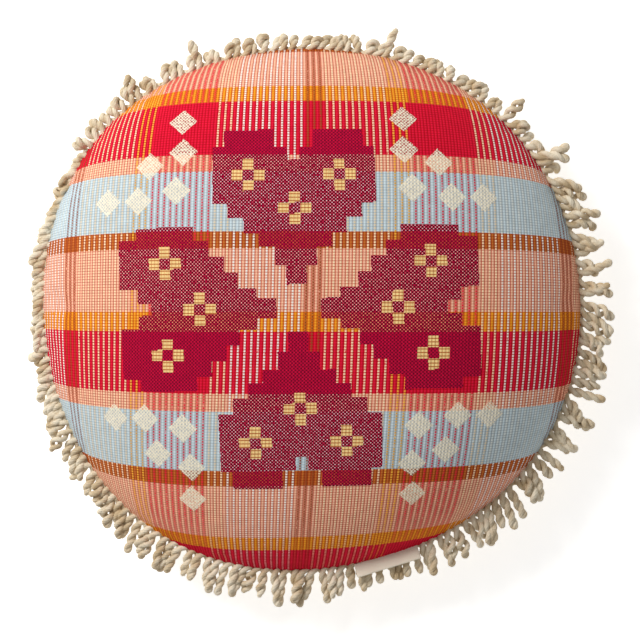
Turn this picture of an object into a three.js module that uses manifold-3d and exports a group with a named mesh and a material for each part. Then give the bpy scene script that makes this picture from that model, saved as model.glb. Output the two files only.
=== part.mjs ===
// A round floor cushion: a woven cover with a bullion fringe in its seam, a zip across its
// underside and a separate filled inner pad. Millimetres, +Z up. The cushion lies face up with
// its flattened underside on z = 0, and the Z axis runs through the middle of its round seam.

import * as THREE from 'three';
import * as BufferGeometryUtils from 'three/addons/utils/BufferGeometryUtils.js';
import Module from 'manifold-3d';

const wasm = await Module();
wasm.setup();

// ---- The filled cushion -------------------------------------------------------------------

const SEAM_RADIUS = 275;
const SEAM_HEIGHT = 72;
const CROWN_ABOVE_SEAM = 98;
const FLOOR_PATCH_RADIUS = 160;
const CROWN_FALL_POWER = 3;
const CROWN_ROUNDING = 0.7;
const BELLY_ROUNDING = 0.62;
// How a hand-filled round cushion departs from a circle: swells that repeat round the seam.
const SWELLS = [
  { count: 2, height: 5.5, atDegrees: 0 },
  { count: 3, height: 3.4, atDegrees: 14 },
  { count: 4, height: 4.1, atDegrees: -36 },
];

// ---- Cloths -------------------------------------------------------------------------------

const COVER_THICKNESS = 2;
const COVER_TO_PAD_GAP = 1;
const CASING_THICKNESS = 1.5;
const CASING_SEAM_GAP = 0.4;
const CASING_TO_FILL_GAP = 0.5;
const SEWN_JOIN_GAP = 0.3;

// ---- Fringe -------------------------------------------------------------------------------

const HEADING_THICKNESS = 3;
const HEADING_INSIDE_SEAM = 8;
const HEADING_OUTSIDE_SEAM = 2;
const PAD_RIM_INSIDE_HEADING = 1.5;
const FRINGE_SECTIONS = 25;
const LOOPS_PER_SECTION = 7;
const LOOP_LENGTH = 34;
const LOOP_THICKNESS = 8;
const LOOP_WIDTH_SHARE = 0.76;
const LOOP_TIP_SHARE = 0.5;
const LOOP_ROOT_LENGTH = 4;

// ---- Sewn-in label ------------------------------------------------------------------------

const LABEL_LENGTH = 68;
const LABEL_DEPTH = 12;
const LABEL_TAPE_THICKNESS = 0.7;
const LABEL_FOLD_GAP = 0.2;
const LABEL_ANGLE = -72.9;
const LABEL_ABOVE_LOOPS = 0.6;
const LABEL_OUTSIDE_SEAM = 0.4;

// ---- Zip in the underside -----------------------------------------------------------------

const ZIP_CHAIN_LENGTH = 290;
const ZIP_OPENING_MARGIN = 6;
const RECESS_BEYOND_PULL = 2;
const RECESS_DEPTH = 6.5;
const RECESS_MOUTH_HALF = 16;
const RECESS_LEDGE_HALF = 8;
const FOLD_GAP_HALF = 6;
const TAPE_THICKNESS = 0.6;
const TAPE_WIDTH = 14;
const TAPE_TO_FOLD_GAP = 0.3;
const TAPE_OVERRUN = 4;
const CHAIN_HALF_GAP = 0.6;
const COIL_WIDTH = 2.8;
const COIL_HEIGHT = 2.2;
const COIL_TO_TAPE_GAP = 0.3;
const STOP_LENGTH = 3;
const STOP_PROUD = 0.35;
const STOP_TO_COIL_GAP = 0.4;
const SLIDER_LENGTH = 11;
const SLIDER_HALF_WIDTH = 4.8;
const SLIDER_PLATE = 1.6;
const SLIDER_FLANGE = 0.9;
const SLIDER_RUNNING_GAP = 0.4;
const SLIDER_POST_THICKNESS = 0.6;
const SLIDER_POST_LENGTH = 3;
const LUG_LENGTH = 4;
const LUG_WIDTH = 2.2;
const LUG_BAR = 0.6;
const LUG_HEIGHT = 2.6;
const PULL_THICKNESS = 1.2;
const PULL_LENGTH = 27;
const PULL_WIDTH = 6.6;
const PULL_NECK_WIDTH = 5.4;
const PULL_WINDOW_LENGTH = 3.6;
const PULL_WINDOW_WIDTH = 3.4;
const PULL_BAR = 1;
const PAD_ABOVE_SLIDER = 1.4;
const PAD_BESIDE_RECESS = 1.4;

// ---- Resolution ---------------------------------------------------------------------------

const ROUND_STEPS = 50;
const CROWN_STEPS = 8;
const BELLY_STEPS = 4;

const REACH = 1000;

const cotton = { roughness: 0.9, metalness: 0 };
const colours = {
  wovenCloth: '#c8573f',
  canvas: '#ddd0b8',
  cottonCord: '#e3d8c6',
  labelTape: '#e6ddcc',
  calico: '#eee6d4',
  fibreFill: '#f4f2ec',
  zipTape: '#d8cbb2',
  zipCoil: '#cfc1a6',
  brass: '#b8964f',
};

// ---- Solids -------------------------------------------------------------------------------

// A closed geometry as a solid that can be cut and joined.
function solidOf(geometry) {
  const bare = geometry.index ? geometry.toNonIndexed() : geometry.clone();
  bare.deleteAttribute('normal');
  bare.deleteAttribute('uv');
  const merged = BufferGeometryUtils.mergeVertices(bare, 1e-4);
  const corners = merged.index.array;
  const kept = [];
  for (let first = 0; first < corners.length; first += 3) {
    const [a, b, c] = corners.slice(first, first + 3);
    if (a !== b && b !== c && c !== a) {
      kept.push(a, b, c);
    }
  }
  const mesh = new wasm.Mesh({
    numProp: 3,
    vertProperties: new Float32Array(merged.attributes.position.array),
    triVerts: new Uint32Array(kept),
  });
  return new wasm.Manifold(mesh);
}

function geometryOf(solid) {
  const mesh = solid.getMesh();
  const geometry = new THREE.BufferGeometry();
  geometry.setAttribute('position', new THREE.BufferAttribute(mesh.vertProperties, 3));
  geometry.setIndex(new THREE.BufferAttribute(mesh.triVerts, 1));
  geometry.computeVertexNormals();
  return geometry;
}

// A block between two opposite corners.
function block(low, high) {
  const size = high.map((value, axis) => value - low[axis]);
  const geometry = new THREE.BoxGeometry(...size);
  geometry.translate(...low.map((value, axis) => value + size[axis] / 2));
  return geometry;
}

function blockSolid(low, high) {
  return solidOf(block(low, high));
}

// A prism along X over an outline given in Y and Z.
function prismAlongX(outline, fromX, toX) {
  const shape = new THREE.Shape(outline.map(([y, z]) => new THREE.Vector2(y, z)));
  const geometry = new THREE.ExtrudeGeometry(shape, { depth: toX - fromX, bevelEnabled: false });
  const turn = new THREE.Matrix4().makeBasis(
    new THREE.Vector3(0, 1, 0),
    new THREE.Vector3(0, 0, 1),
    new THREE.Vector3(1, 0, 0),
  );
  geometry.applyMatrix4(turn);
  geometry.translate(fromX, 0, 0);
  return geometry;
}

// A plate over an outline given in X and Y.
function plate(shape, fromZ, toZ) {
  const geometry = new THREE.ExtrudeGeometry(shape, {
    depth: toZ - fromZ,
    bevelEnabled: false,
    curveSegments: 4,
  });
  geometry.translate(0, 0, fromZ);
  return geometry;
}

// ---- The cushion's outline ----------------------------------------------------------------

// How far the seam stands outside its mean radius in one direction.
function swellAt(angle) {
  return SWELLS.reduce((sum, swell) => {
    const phase = swell.count * (angle - THREE.MathUtils.degToRad(swell.atDegrees));
    return sum + swell.height * Math.cos(phase);
  }, 0);
}

function seamRadiusAt(angle) {
  return SEAM_RADIUS + swellAt(angle);
}

// The swells fade out towards the middle with the square of the radius.
function swellOut(geometry) {
  const places = geometry.attributes.position;
  for (let i = 0; i < places.count; i += 1) {
    const x = places.getX(i);
    const y = places.getY(i);
    const share = Math.hypot(x, y) / SEAM_RADIUS;
    const stretch = 1 + (swellAt(Math.atan2(y, x)) / SEAM_RADIUS) * share * share;
    places.setXY(i, x * stretch, y * stretch);
  }
  return geometry;
}

// The filled body, set in from the outside by one distance on its faces and another at its rim.
function cushionBody(faceInset, rimInset) {
  const rim = SEAM_RADIUS - rimInset;
  const crown = CROWN_ABOVE_SEAM - faceInset;
  const belly = SEAM_HEIGHT - faceInset;
  const patch = FLOOR_PATCH_RADIUS * (rim / SEAM_RADIUS);
  const profile = [new THREE.Vector2(0, faceInset), new THREE.Vector2(patch, faceInset)];
  for (let step = 1; step <= BELLY_STEPS; step += 1) {
    const turn = (Math.PI / 2) * (step / BELLY_STEPS);
    const out = Math.sin(turn);
    const up = (1 - Math.cos(turn)) ** (1 / (2 * BELLY_ROUNDING));
    profile.push(new THREE.Vector2(patch + (rim - patch) * out, faceInset + belly * up));
  }
  for (let step = 1; step <= CROWN_STEPS; step += 1) {
    const share = Math.cos((Math.PI / 2) * (step / CROWN_STEPS));
    const up = (1 - share ** CROWN_FALL_POWER) ** CROWN_ROUNDING;
    const out = step === CROWN_STEPS ? 0 : rim * share;
    profile.push(new THREE.Vector2(out, SEAM_HEIGHT + crown * up));
  }
  const geometry = new THREE.LatheGeometry(profile, ROUND_STEPS);
  geometry.rotateX(Math.PI / 2);
  return solidOf(swellOut(geometry));
}

// ---- Levels that the zip and the pad share -------------------------------------------------

const recessTop = RECESS_DEPTH;
const foldTop = recessTop + COVER_THICKNESS;
const tapeBottom = foldTop + TAPE_TO_FOLD_GAP;
const tapeTop = tapeBottom + TAPE_THICKNESS;
const coilTop = tapeBottom - COIL_TO_TAPE_GAP;
const coilBottom = coilTop - COIL_HEIGHT;
const sliderPlateTop = coilBottom - SLIDER_RUNNING_GAP;
const sliderPlateBottom = sliderPlateTop - SLIDER_PLATE;
const sliderInnerBottom = tapeTop + SLIDER_RUNNING_GAP;
const sliderInnerTop = sliderInnerBottom + SLIDER_PLATE;
const lugBottom = sliderPlateBottom - LUG_HEIGHT;
const pullAxisHeight = (sliderPlateBottom + lugBottom + LUG_BAR) / 2;
const padRecessTop = sliderInnerTop + PAD_ABOVE_SLIDER;
const zipHalf = ZIP_CHAIN_LENGTH / 2;
const slotHalf = zipHalf + ZIP_OPENING_MARGIN;
const sliderRestX = zipHalf - STOP_TO_COIL_GAP - SLIDER_LENGTH / 2;
// The pull lies flat past the slider at either end of its run, and the recess gives it room.
const recessHalf = sliderRestX + PULL_LENGTH + RECESS_BEYOND_PULL;

// ---- Cover --------------------------------------------------------------------------------

// The space that the cover folds up around, grown by the cloth on each side when asked.
function recessPrism(growth) {
  const outline = [
    [-RECESS_MOUTH_HALF - growth, -1],
    [RECESS_MOUTH_HALF + growth, -1],
    [RECESS_MOUTH_HALF + growth, 0],
    [RECESS_LEDGE_HALF + growth, recessTop + growth],
    [-RECESS_LEDGE_HALF - growth, recessTop + growth],
    [-RECESS_MOUTH_HALF - growth, 0],
  ];
  return solidOf(prismAlongX(outline, -recessHalf - growth, recessHalf + growth));
}

function coverShell() {
  const outside = cushionBody(0, 0).subtract(recessPrism(0));
  const inside = cushionBody(COVER_THICKNESS, COVER_THICKNESS);
  return outside.subtract(inside.subtract(recessPrism(COVER_THICKNESS)));
}

function frontPanel(shell) {
  const joinHeight = SEAM_HEIGHT + HEADING_THICKNESS / 2 + SEWN_JOIN_GAP;
  const above = blockSolid([-REACH, -REACH, joinHeight], [REACH, REACH, REACH]);
  return geometryOf(shell.intersect(above));
}

// One half of the underside, on the side of the zip that the sign gives.
function backPanel(shell, side) {
  const joinHeight = SEAM_HEIGHT - HEADING_THICKNESS / 2 - SEWN_JOIN_GAP;
  const near = SEWN_JOIN_GAP / 2;
  const low = [-REACH, side > 0 ? near : -REACH, -REACH];
  const high = [REACH, side > 0 ? REACH : -near, joinHeight];
  const slot = blockSolid([-slotHalf, -FOLD_GAP_HALF, -1], [slotHalf, FOLD_GAP_HALF, foldTop + 1]);
  return geometryOf(shell.intersect(blockSolid(low, high)).subtract(slot));
}

// ---- Fringe -------------------------------------------------------------------------------

function pointAt(radius, angle) {
  return new THREE.Vector2(radius * Math.cos(angle), radius * Math.sin(angle));
}

// The braid that carries the loops, held between the two cover panels by the seam.
function fringeHeading() {
  const outer = [];
  const inner = [];
  for (let step = 0; step < ROUND_STEPS; step += 1) {
    const angle = (2 * Math.PI * step) / ROUND_STEPS;
    outer.push(pointAt(seamRadiusAt(angle) + HEADING_OUTSIDE_SEAM, angle));
    inner.push(pointAt(seamRadiusAt(angle) - HEADING_INSIDE_SEAM, angle));
  }
  const shape = new THREE.Shape(outer);
  shape.holes.push(new THREE.Path(inner));
  const half = HEADING_THICKNESS / 2;
  return plate(shape, SEAM_HEIGHT - half, SEAM_HEIGHT + half);
}

// A stretch of fringe: a strip of loop roots with its loops standing out from it.
function fringeSection(index) {
  const sectionAngle = (2 * Math.PI) / FRINGE_SECTIONS;
  const endGap = SEWN_JOIN_GAP / (2 * SEAM_RADIUS);
  const start = index * sectionAngle + endGap;
  const pitch = (sectionAngle - 2 * endGap) / LOOPS_PER_SECTION;
  const rootInside = HEADING_OUTSIDE_SEAM + SEWN_JOIN_GAP;
  const rootOutside = rootInside + LOOP_ROOT_LENGTH;
  const tip = rootInside + LOOP_LENGTH;
  const at = (distance, angle) => pointAt(seamRadiusAt(angle) + distance, angle);
  const outline = [];
  for (let step = LOOPS_PER_SECTION; step >= 0; step -= 1) {
    outline.push(at(rootInside, start + step * pitch));
  }
  outline.push(at(rootOutside, start));
  for (let loop = 0; loop < LOOPS_PER_SECTION; loop += 1) {
    const middle = start + (loop + 0.5) * pitch;
    const half = (pitch * LOOP_WIDTH_SHARE) / 2;
    outline.push(at(rootOutside, middle - half));
    outline.push(at(tip - LOOP_ROOT_LENGTH, middle - half));
    outline.push(at(tip, middle - half * LOOP_TIP_SHARE));
    outline.push(at(tip, middle + half * LOOP_TIP_SHARE));
    outline.push(at(tip - LOOP_ROOT_LENGTH, middle + half));
    outline.push(at(rootOutside, middle + half));
  }
  outline.push(at(rootOutside, start + LOOPS_PER_SECTION * pitch));
  const half = LOOP_THICKNESS / 2;
  return plate(new THREE.Shape(outline), SEAM_HEIGHT - half, SEAM_HEIGHT + half);
}

// ---- Label --------------------------------------------------------------------------------

// A tape folded double, its fold outwards, lying on the fringe where it leaves the seam.
function wovenLabel() {
  const half = LABEL_FOLD_GAP / 2;
  const outside = half + LABEL_TAPE_THICKNESS;
  const outline = [
    [-LABEL_DEPTH / 2, half],
    [LABEL_DEPTH / 2 - LABEL_TAPE_THICKNESS, half],
    [LABEL_DEPTH / 2 - LABEL_TAPE_THICKNESS, -half],
    [-LABEL_DEPTH / 2, -half],
    [-LABEL_DEPTH / 2, -outside],
    [LABEL_DEPTH / 2, -outside],
    [LABEL_DEPTH / 2, outside],
    [-LABEL_DEPTH / 2, outside],
  ];
  const geometry = prismAlongX(outline, -LABEL_LENGTH / 2, LABEL_LENGTH / 2);
  geometry.rotateZ(THREE.MathUtils.degToRad(LABEL_ANGLE - 90));
  return geometry;
}

function placeLabel(mesh) {
  const angle = THREE.MathUtils.degToRad(LABEL_ANGLE);
  const middle = pointAt(seamRadiusAt(angle) + LABEL_OUTSIDE_SEAM + LABEL_DEPTH / 2, angle);
  const lift = LOOP_THICKNESS / 2 + LABEL_ABOVE_LOOPS + LABEL_FOLD_GAP / 2 + LABEL_TAPE_THICKNESS;
  mesh.position.set(middle.x, middle.y, SEAM_HEIGHT + lift);
}

// ---- Zip ----------------------------------------------------------------------------------

// A bar along X on one side of the chain, from one distance off its middle to another.
function sideBar(side, near, far, fromX, toX, fromZ, toZ) {
  const low = [fromX, side > 0 ? near : -far, fromZ];
  const high = [toX, side > 0 ? far : -near, toZ];
  return block(low, high);
}

function zipTape(side) {
  const end = slotHalf + TAPE_OVERRUN;
  const far = CHAIN_HALF_GAP + TAPE_WIDTH;
  return sideBar(side, CHAIN_HALF_GAP, far, -end, end, tapeBottom, tapeTop);
}

function zipCoil(side) {
  const far = CHAIN_HALF_GAP + COIL_WIDTH;
  return sideBar(side, CHAIN_HALF_GAP, far, -zipHalf, zipHalf, coilBottom, coilTop);
}

function zipTopStop(side) {
  const from = zipHalf + STOP_TO_COIL_GAP;
  const far = CHAIN_HALF_GAP + COIL_WIDTH;
  const low = coilBottom - STOP_PROUD;
  return sideBar(side, CHAIN_HALF_GAP, far, from, from + STOP_LENGTH, low, coilTop);
}

function zipBottomStop() {
  const to = -zipHalf - STOP_TO_COIL_GAP;
  const half = CHAIN_HALF_GAP + COIL_WIDTH + STOP_PROUD;
  return block([to - STOP_LENGTH, -half, coilBottom - STOP_PROUD], [to, half, coilTop]);
}

// A channel that runs on the two coils, an inner plate behind the tapes and a post between.
function zipSlider() {
  const end = SLIDER_LENGTH / 2;
  const wide = SLIDER_HALF_WIDTH;
  const inside = wide - SLIDER_FLANGE;
  const flangeTop = coilTop - SLIDER_RUNNING_GAP;
  const postHalf = SLIDER_POST_THICKNESS / 2;
  const postEnd = end - SLIDER_POST_LENGTH;
  const lug = blockSolid(
    [-LUG_LENGTH / 2, -LUG_WIDTH / 2, lugBottom],
    [LUG_LENGTH / 2, LUG_WIDTH / 2, sliderPlateTop],
  );
  const eye = blockSolid(
    [-LUG_LENGTH / 2 + LUG_BAR, -REACH, lugBottom + LUG_BAR],
    [LUG_LENGTH / 2 - LUG_BAR, REACH, sliderPlateBottom],
  );
  const outer = blockSolid([-end, -wide, sliderPlateBottom], [end, wide, sliderPlateTop]);
  const nearFlange = blockSolid([-end, inside, sliderPlateBottom], [end, wide, flangeTop]);
  const farFlange = blockSolid([-end, -wide, sliderPlateBottom], [end, -inside, flangeTop]);
  const post = blockSolid([postEnd, -postHalf, sliderPlateBottom], [end, postHalf, sliderInnerTop]);
  const inner = blockSolid([-end, -wide, sliderInnerBottom], [end, wide, sliderInnerTop]);
  const channel = outer.add(nearFlange).add(farFlange).add(post).add(inner);
  return geometryOf(channel.add(lug.subtract(eye)));
}

// A tab with a window round the slider's lug; the bar at its end turns in the lug's eye.
function zipPull() {
  const half = PULL_THICKNESS / 2;
  const bar = PULL_BAR / 2;
  const shape = new THREE.Shape();
  shape.moveTo(-bar, -PULL_NECK_WIDTH / 2);
  shape.lineTo(PULL_WINDOW_LENGTH + PULL_BAR, -PULL_NECK_WIDTH / 2);
  shape.lineTo(PULL_WINDOW_LENGTH + 3 * PULL_BAR, -PULL_WIDTH / 2);
  shape.lineTo(PULL_LENGTH - PULL_WIDTH / 2, -PULL_WIDTH / 2);
  shape.absarc(PULL_LENGTH - PULL_WIDTH / 2, 0, PULL_WIDTH / 2, -Math.PI / 2, Math.PI / 2, false);
  shape.lineTo(PULL_WINDOW_LENGTH + 3 * PULL_BAR, PULL_WIDTH / 2);
  shape.lineTo(PULL_WINDOW_LENGTH + PULL_BAR, PULL_NECK_WIDTH / 2);
  shape.lineTo(-bar, PULL_NECK_WIDTH / 2);
  shape.closePath();
  const tab = solidOf(plate(shape, -half, half));
  const windowHalf = PULL_WINDOW_WIDTH / 2;
  const clear = blockSolid([bar, -windowHalf, -half - 1], [bar + PULL_WINDOW_LENGTH, windowHalf, half + 1]);
  const overBar = blockSolid([-bar - 1, -windowHalf, bar], [bar, windowHalf, half + 1]);
  const underBar = blockSolid([-bar - 1, -windowHalf, -half - 1], [bar, windowHalf, -bar]);
  return geometryOf(tab.subtract(clear).subtract(overBar).subtract(underBar));
}

// ---- Inner pad ----------------------------------------------------------------------------

const casingInset = COVER_THICKNESS + COVER_TO_PAD_GAP;
const padRimInset = HEADING_INSIDE_SEAM + PAD_RIM_INSIDE_HEADING;

// The hollow that the zip presses into the pad's underside, deeper by the layers above it.
function padRecess(depth) {
  const half = RECESS_MOUTH_HALF + COVER_THICKNESS + PAD_BESIDE_RECESS + depth;
  const end = recessHalf + COVER_THICKNESS + PAD_BESIDE_RECESS + depth;
  return blockSolid([-end, -half, -1], [end, half, padRecessTop + depth]);
}

function padBody(depth) {
  return cushionBody(casingInset + depth, padRimInset + depth).subtract(padRecess(depth));
}

function insertCasing(side) {
  const edge = CASING_SEAM_GAP / 2;
  const low = [-REACH, -REACH, side > 0 ? SEAM_HEIGHT + edge : -REACH];
  const high = [REACH, REACH, side > 0 ? REACH : SEAM_HEIGHT - edge];
  const shell = padBody(0).subtract(padBody(CASING_THICKNESS));
  return geometryOf(shell.intersect(blockSolid(low, high)));
}

function insertFill() {
  return geometryOf(padBody(CASING_THICKNESS + CASING_TO_FILL_GAP));
}

// ---- Assembly -----------------------------------------------------------------------------

const cushion = new THREE.Group();

function addPiece(parent, name, geometry, colour, finish = cotton) {
  const material = new THREE.MeshStandardMaterial({ color: colour, ...finish });
  const mesh = new THREE.Mesh(geometry, material);
  mesh.name = name;
  parent.add(mesh);
  return mesh;
}

function addCover() {
  const shell = coverShell();
  addPiece(cushion, 'front_panel', frontPanel(shell), colours.wovenCloth);
  addPiece(cushion, 'back_panel_upper', backPanel(shell, 1), colours.canvas);
  addPiece(cushion, 'back_panel_lower', backPanel(shell, -1), colours.canvas);
}

function addTrim() {
  addPiece(cushion, 'fringe_heading', fringeHeading(), colours.cottonCord);
  for (let index = 0; index < FRINGE_SECTIONS; index += 1) {
    const name = `fringe_section_${String(index + 1).padStart(2, '0')}`;
    addPiece(cushion, name, fringeSection(index), colours.cottonCord);
  }
  placeLabel(addPiece(cushion, 'woven_label', wovenLabel(), colours.labelTape));
}

function addZip() {
  const metal = { roughness: 0.35, metalness: 1 };
  for (const [word, side] of [['upper', 1], ['lower', -1]]) {
    addPiece(cushion, `zip_tape_${word}`, zipTape(side), colours.zipTape);
    addPiece(cushion, `zip_coil_${word}`, zipCoil(side), colours.zipCoil, { roughness: 0.5, metalness: 0 });
    addPiece(cushion, `zip_top_stop_${word}`, zipTopStop(side), colours.brass, metal);
  }
  addPiece(cushion, 'zip_bottom_stop', zipBottomStop(), colours.brass, metal);
  const sliding = new THREE.Group();
  sliding.position.set(sliderRestX, 0, 0);
  cushion.add(sliding);
  addPiece(sliding, 'zip_slider', zipSlider(), colours.brass, metal);
  const pull = addPiece(sliding, 'zip_pull', zipPull(), colours.brass, metal);
  pull.rotation.z = Math.PI;
  pull.position.set(0, 0, pullAxisHeight);
}

function addInsert() {
  addPiece(cushion, 'insert_casing_top', insertCasing(1), colours.calico);
  addPiece(cushion, 'insert_casing_bottom', insertCasing(-1), colours.calico);
  addPiece(cushion, 'insert_fill', insertFill(), colours.fibreFill);
}

addCover();
addTrim();
addZip();
addInsert();

export default cushion;
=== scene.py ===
"""A round floor cushion in check-banded hand-loom cotton, with a bullion fringe and a zipped back.

The cushion lies face up on the floor. Cloths are cut as flat discs, drawn over the filled form,
settled by a short cloth simulation and then given their woven relief.
"""

import math
import random

import bmesh
import bpy
import numpy as np
from mathutils import Matrix, Vector


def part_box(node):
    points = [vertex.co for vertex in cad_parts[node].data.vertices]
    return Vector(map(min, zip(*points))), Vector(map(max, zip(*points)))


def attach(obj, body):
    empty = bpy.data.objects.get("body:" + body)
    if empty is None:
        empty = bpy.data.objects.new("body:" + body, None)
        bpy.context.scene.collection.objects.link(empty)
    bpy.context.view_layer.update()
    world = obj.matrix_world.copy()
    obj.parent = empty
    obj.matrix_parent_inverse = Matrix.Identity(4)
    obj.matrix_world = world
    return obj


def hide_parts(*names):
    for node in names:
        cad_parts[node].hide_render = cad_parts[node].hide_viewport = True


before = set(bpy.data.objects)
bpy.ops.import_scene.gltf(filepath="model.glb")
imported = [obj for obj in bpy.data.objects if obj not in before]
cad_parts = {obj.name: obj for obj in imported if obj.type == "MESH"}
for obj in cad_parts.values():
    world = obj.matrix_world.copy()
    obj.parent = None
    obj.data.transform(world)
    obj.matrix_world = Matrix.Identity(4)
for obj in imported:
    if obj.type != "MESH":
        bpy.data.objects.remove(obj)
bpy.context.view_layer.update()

MM = 0.001
UP = Vector((0, 0, 1))

# ---- The filled form, in millimetres --------------------------------------------------------

CUT_RADIUS = 300.0
CROWN_FALL_POWER = 3.0
CROWN_ROUNDING = 0.7
BELLY_ROUNDING = 0.62
HIGHEST_SWELL_COUNT = 4
HEADING_OUTSIDE_SEAM = 2.0
# Each cover cloth's edge stands this far off the middle of the seam, with the heading between.
SEAM_PART = 1.0
SEAM_PART_SHARPNESS = 14

# ---- The zip's hollow in the underside, in millimetres --------------------------------------

tape_low, tape_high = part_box("zip_tape_upper")
slider_low, slider_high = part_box("zip_slider")
pull_low, pull_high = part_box("zip_pull")
COVER_THICKNESS = 2.0
TAPE_TO_FOLD_GAP = 0.3
TAPE_OVERRUN = 4.0
FOLD_GAP_HALF = 6.0
RECESS_MOUTH_HALF = 16.0
RECESS_LEDGE_HALF = 8.0
RECESS_DEPTH = tape_low.z / MM - TAPE_TO_FOLD_GAP - COVER_THICKNESS
SLOT_HALF = tape_high.x / MM - TAPE_OVERRUN
RECESS_END_EASE = 5.0
RECESS_PAST_PULL = 4.0
PULL_LENGTH = (pull_high.x - pull_low.x) / MM
RECESS_END = (slider_low.x + slider_high.x) / 2 / MM + PULL_LENGTH + RECESS_PAST_PULL

# ---- The woven cloth, in millimetres --------------------------------------------------------

RIB_PITCH = 3.22
COLUMN_PITCH = 2 * RIB_PITCH
PICK_PITCH = 2.75
# How the cloth's warp leans and bows over the filled form, and how far the raised hearts follow.
WARP_LEAN = 0.025
WARP_BOW = 0.00013
WEFT_BOW = 0.00008
MOTIF_LEAN = 0.053
MOTIF_RISE = 0.012
# The left arm of the motif is woven this much nearer to the middle than the others.
LEFT_ARM_NEARER = 2.6
# Where the pattern's middle lies on the disc, kept to whole ribs so that ribs fall on vertices.
PATTERN_MIDDLE = (-3.5 * RIB_PITCH, -0.5)
FIRST_COLUMN = 0.5 * RIB_PITCH
FINE_STEPS = 3

# Weft bands from the top of one repeat downwards: colour and depth.
WEFT_BANDS = (
    ("orange", 18.6),
    ("red", 59.8),
    ("peach", 17.6),
    ("ice_blue", 58.8),
    ("caramel", 16.7),
    ("peach", 60.8),
)
FIRST_BAND_TOP = -3.4
# Warp columns from the left of one repeat: colour and number of columns.
WARP_COLUMNS = (
    ("gold", 3),
    ("red", 10),
    ("straw", 3),
    ("natural_white", 11),
    ("umber", 3),
    ("straw", 10),
)
MIDDLE_COLUMN = 26

# The stepped heart on each arm: distance from the middle, and half its width there.
HEART_STEPS = (
    (22.6, 41.3, 9.8),
    (41.3, 59.0, 20.2),
    (59.0, 71.8, 35.4),
    (71.8, 86.6, 49.7),
    (86.6, 101.4, 65.0),
    (101.4, 158.4, 79.2),
)
HEART_LOBES = (158.4, 177.0, 19.2, 68.4)
HEART_NOTCH = (145.0, 5.9)
FLOWERS = ((96.8, 0.0), (129.8, 44.3), (129.8, -44.3))
PETAL_HALF = 5.2
PETAL_OFFSET = 10.7
DIAMONDS = (
    (110.5, 188.4),
    (108.6, 154.6),
    (142.4, 141.4),
    (115.0, 115.3),
    (153.7, 106.4),
    (186.6, 106.9),
)
DIAMOND_HALF = 14.4

# ---- Small helpers --------------------------------------------------------------------------


def colour(code):
    """An sRGB hex value as a linear colour."""
    parts = [int(code[i : i + 2], 16) / 255 for i in (1, 3, 5)]
    linear = [p / 12.92 if p <= 0.04045 else ((p + 0.055) / 1.055) ** 2.4 for p in parts]
    return (*linear, 1.0)


def piece(name, mesh, body, slot, *nodes):
    """An object for a finished mesh that rides on a body and stands for CAD nodes."""
    made = bpy.data.objects.new(name, mesh)
    bpy.context.scene.collection.objects.link(made)
    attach(made, body)
    if nodes:
        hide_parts(*nodes)
    return made


def smooth(mesh):
    mesh.polygons.foreach_set("use_smooth", np.ones(len(mesh.polygons), bool))
    mesh.update()


def coordinates(mesh):
    found = np.empty(len(mesh.vertices) * 3)
    mesh.vertices.foreach_get("co", found)
    return found.reshape(-1, 3)


def place_vertices(mesh, places):
    mesh.vertices.foreach_set("co", np.asarray(places, float).ravel())
    mesh.update()


def vertex_normals(mesh):
    found = np.empty(len(mesh.vertices) * 3, np.float32)
    mesh.vertex_normals.foreach_get("vector", found)
    return found.reshape(-1, 3)


def shaped_by(data, *steps):
    """A mesh made from a mesh or curve after a list of modifiers, each a kind and its settings."""
    shaped = bpy.data.objects.new("shaping", data)
    bpy.context.scene.collection.objects.link(shaped)
    for kind, settings in steps:
        modifier = shaped.modifiers.new(kind, kind)
        for name, value in settings.items():
            setattr(modifier, name, value)
    graph = bpy.context.evaluated_depsgraph_get()
    made = bpy.data.meshes.new_from_object(shaped.evaluated_get(graph), depsgraph=graph)
    bpy.data.objects.remove(shaped)
    return made


def ease(share):
    """A smooth step from 0 to 1."""
    held = np.clip(share, 0, 1)
    return held * held * (3 - 2 * held)


def mesh_of(bm, name):
    mesh = bpy.data.meshes.new(name)
    bm.to_mesh(mesh)
    bm.free()
    return mesh


# ---- The filled form ------------------------------------------------------------------------

heading_low, heading_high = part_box("fringe_heading")
SEAM_HEIGHT = (heading_low.z + heading_high.z) / 2 / MM
CROWN_ABOVE_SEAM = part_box("front_panel")[1].z / MM - SEAM_HEIGHT


def seam_terms():
    """The seam's mean radius and its low-order swells, read off the heading's outer edge."""
    rim = coordinates(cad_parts["fringe_heading"].data)[:, :2] / MM
    radii = np.hypot(rim[:, 0], rim[:, 1])
    outer = radii > radii.mean()
    angles = np.arctan2(rim[outer, 1], rim[outer, 0])
    columns = [np.ones_like(angles)]
    for count in range(2, HIGHEST_SWELL_COUNT + 1):
        columns += [np.cos(count * angles), np.sin(count * angles)]
    terms = np.linalg.lstsq(np.stack(columns, 1), radii[outer] - HEADING_OUTSIDE_SEAM, rcond=None)[0]
    return terms[0], terms[1:]


SEAM_RADIUS, SWELL_TERMS = seam_terms()


def swell(angles):
    """How far the seam stands outside its mean radius, in millimetres."""
    total = np.zeros_like(angles)
    for order in range(len(SWELL_TERMS) // 2):
        count = order + 2
        total += SWELL_TERMS[2 * order] * np.cos(count * angles)
        total += SWELL_TERMS[2 * order + 1] * np.sin(count * angles)
    return total


def seam_radius(angle):
    return SEAM_RADIUS + float(swell(np.array([angle]))[0])


def crown_profile():
    """Radius and height from the crown out to the seam."""
    share = np.sin(np.linspace(0, math.pi / 2, 800))
    height = SEAM_HEIGHT + CROWN_ABOVE_SEAM * (1 - share**CROWN_FALL_POWER) ** CROWN_ROUNDING
    return SEAM_RADIUS * share, height


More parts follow.
